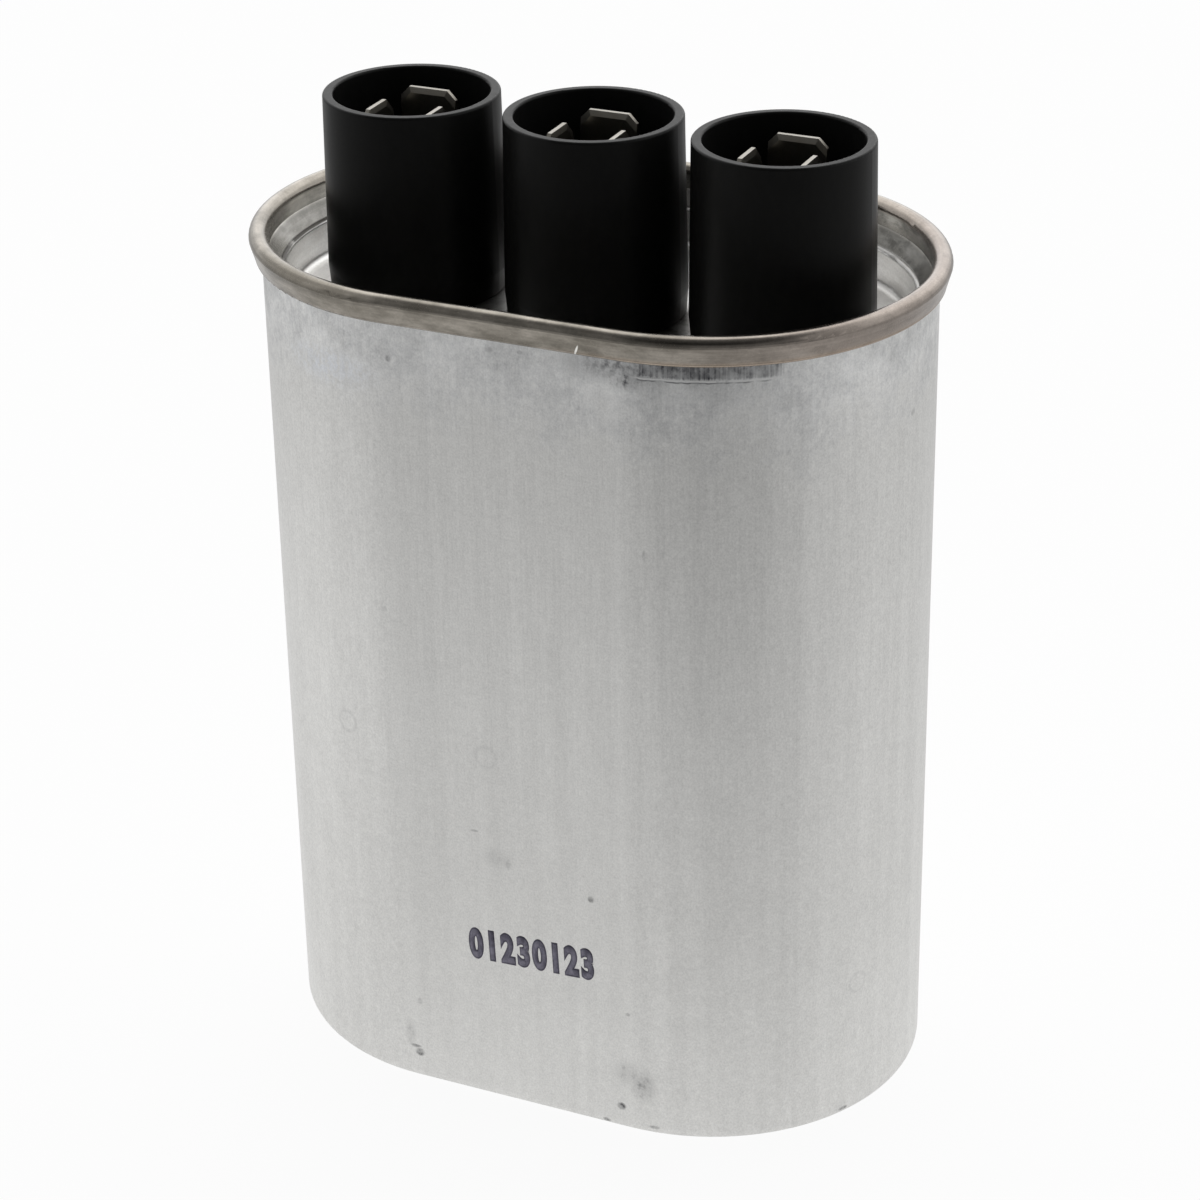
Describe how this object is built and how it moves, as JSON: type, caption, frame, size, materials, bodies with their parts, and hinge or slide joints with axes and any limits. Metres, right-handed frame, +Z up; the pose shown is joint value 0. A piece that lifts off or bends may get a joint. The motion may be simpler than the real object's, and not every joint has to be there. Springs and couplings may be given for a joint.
{
  "type": "dual high voltage capacitor",
  "caption": "Oval aluminium can capacitor with a double-seamed dished lid and black cup insulators around multi-blade push-on terminals, with wound sections inside.",
  "frame": {"origin": "centre of the can's base, on the surface it stands on", "axes": "+Z up along the can, +X along the row of terminals to the right seen from the front, +Y to the back"},
  "size_m": [0.075, 0.0494, 0.1065],
  "materials": {
    "can_metal": "drawn, satin, lightly scuffed",
    "lid_metal": "rolled, tarnished tan",
    "black_moulding": "satin moulded",
    "tinned_brass": "tin plated",
    "seal_rubber": "matt",
    "bush_board": "laminated",
    "tinned_copper": "tin plated",
    "film_roll": "oiled film",
    "pressboard": "oiled board",
    "resistor_coat": "lacquered"
  },
  "bodies": {
    "root": {"can": "can_metal", "lid": "lid_metal", "sleeve": "pressboard", "divider": "pressboard", "bottom_pad": "pressboard", "top_pad": "pressboard", "winding_left": "film_roll", "winding_right": "film_roll", "resistor_left": "resistor_coat", "resistor_right": "resistor_coat", "insulator_left": "black_moulding", "terminal_left": "tinned_brass", "rivet_left": "tinned_brass", "gasket_left": "seal_rubber", "bush_left": "bush_board", "lug_left": "tinned_copper", "insulator_middle": "black_moulding", "terminal_middle": "tinned_brass", "rivet_middle": "tinned_brass", "gasket_middle": "seal_rubber", "bush_middle": "bush_board", "lug_middle": "tinned_copper", "insulator_right": "black_moulding", "terminal_right": "tinned_brass", "rivet_right": "tinned_brass", "gasket_right": "seal_rubber", "bush_right": "bush_board", "lug_right": "tinned_copper", "lead_left": "tinned_copper", "lead_middle_left": "tinned_copper", "lead_middle_right": "tinned_copper", "lead_right": "tinned_copper"}
  },
  "joints": []
}
